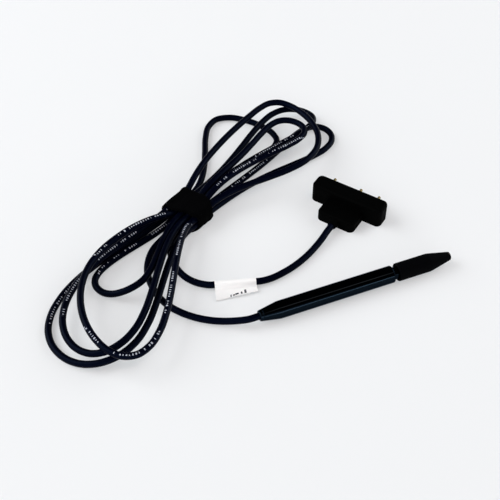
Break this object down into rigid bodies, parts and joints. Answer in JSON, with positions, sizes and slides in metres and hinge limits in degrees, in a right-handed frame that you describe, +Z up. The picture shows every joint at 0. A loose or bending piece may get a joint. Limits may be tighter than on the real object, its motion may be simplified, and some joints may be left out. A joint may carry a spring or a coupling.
{
  "type": "corded chuck handpiece",
  "caption": "Pen-style radio-frequency handpiece with a screw-down chuck nose, a navy silicone cord wound in a strapped hank, a paper flag label and a T-shaped pin plug.",
  "frame": {"origin": "on the table under the middle of the handpiece", "axes": "+X along the handpiece from its tail to its tip, +Z up from the table"},
  "size_m": [0.2534, 0.1969, 0.0171],
  "materials": {
    "handle": "glossy moulded black",
    "nose": "fine matte texture",
    "chuck": "turned brass",
    "crimp": "plain",
    "conductor": "bare copper strand",
    "cord": "satin navy silicone",
    "strap": "hook-and-loop nap",
    "label": "paper",
    "plug": "fine matte texture",
    "carrier": "plain",
    "pins": "gold plated"
  },
  "bodies": {
    "handle": {"handle_body": "handle", "tail_cap": "handle", "cord_crimp_handle": "crimp", "handle_conductor": "conductor", "chuck_body": "chuck", "collet": "chuck", "cord_to_handle": "cord", "cord_hank": "cord", "cord_to_plug": "cord", "cord_strap": "strap", "cord_label": "label", "plug_cover": "plug", "pin_carrier": "carrier", "contact_pin_1": "pins", "contact_pin_2": "pins", "contact_pin_3": "pins", "plug_boot": "plug", "cord_crimp_plug": "crimp", "plug_conductor": "conductor"},
    "closer": {"closing_sleeve": "chuck"},
    "nose": {"nose_sleeve": "nose", "nose_thread_insert": "chuck"}
  },
  "joints": [
    {"name": "chuck_slide", "type": "slide", "parent": "handle", "child": "closer", "axis": [1, 0, 0], "range_m": [-0.002, 0.001]},
    {"name": "nose_turn", "type": "hinge", "parent": "closer", "child": "nose", "pos_m": [0.0465, 0, 0.00585], "axis": [1, 0, 0], "range_deg": [-720, 360]}
  ],
  "couplings": [
    {"joint": "chuck_slide", "follows": "nose_turn", "m_per_rad": 0.00015915}
  ]
}
